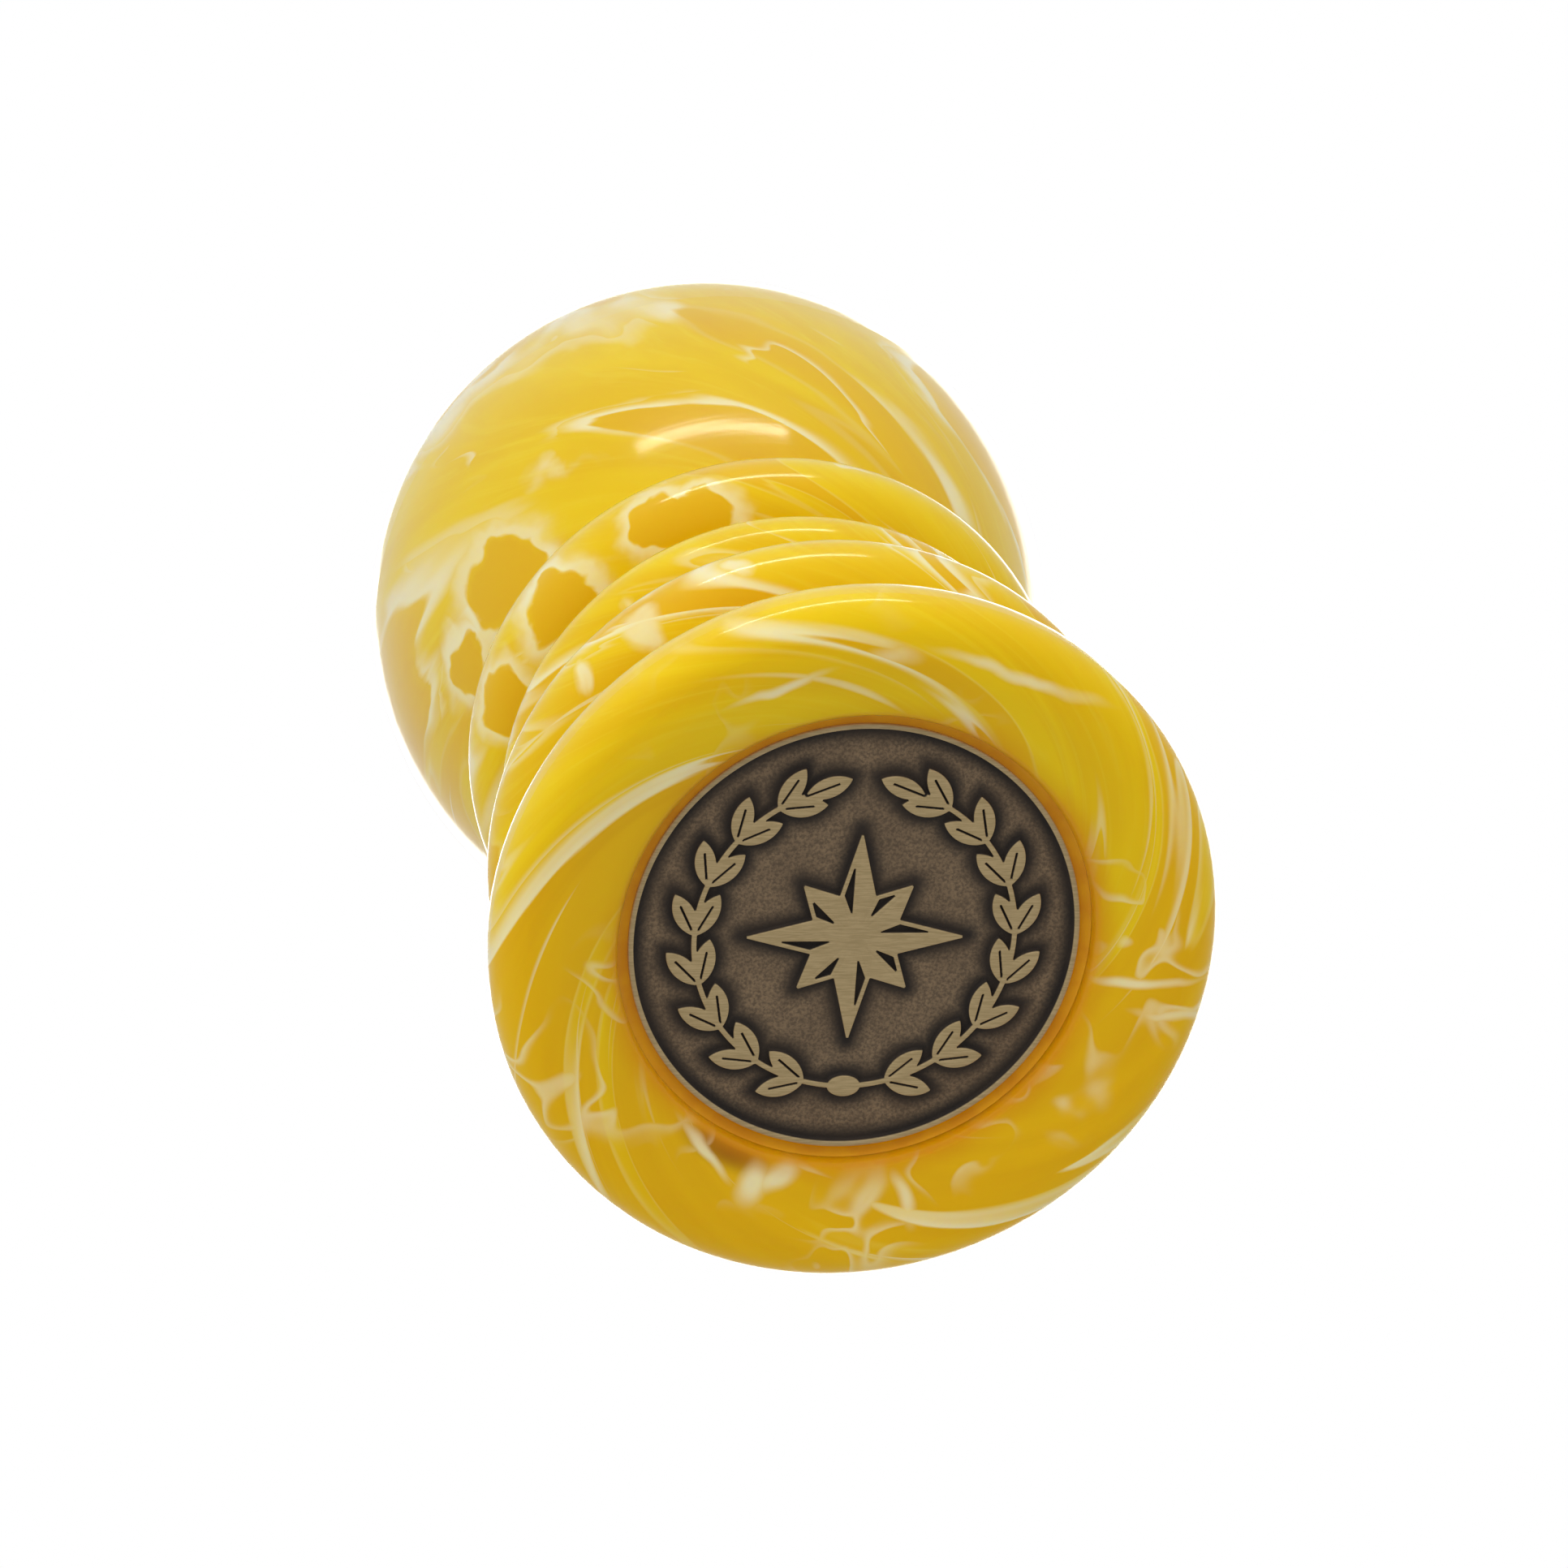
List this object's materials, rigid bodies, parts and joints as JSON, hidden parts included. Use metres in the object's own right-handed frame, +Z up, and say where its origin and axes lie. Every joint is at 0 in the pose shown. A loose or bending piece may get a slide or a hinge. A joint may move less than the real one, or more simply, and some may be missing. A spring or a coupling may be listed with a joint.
{
  "type": "shaving brush handle",
  "caption": "Turned resin handle with a beaded stem, a round bulb, a blind knot socket on top and a brass medallion let into the foot.",
  "frame": {"origin": "centre of the foot's resting face", "axes": "+Z up the handle's axis from the foot to the knot socket; the top of the medallion's design points to -Y"},
  "size_m": [0.0326, 0.0326, 0.0502],
  "materials": {
    "marbled_resin": "polished cast resin, yellow with amber patches and cream veins",
    "antique_brass": "dark patina in the field, brushed bright on the raised design and rim",
    "amber_epoxy": "clear cured epoxy that looks amber in the thin gap"
  },
  "bodies": {
    "root": {"handle": "marbled_resin", "medallion": "antique_brass", "medallion_adhesive": "amber_epoxy"}
  },
  "joints": []
}
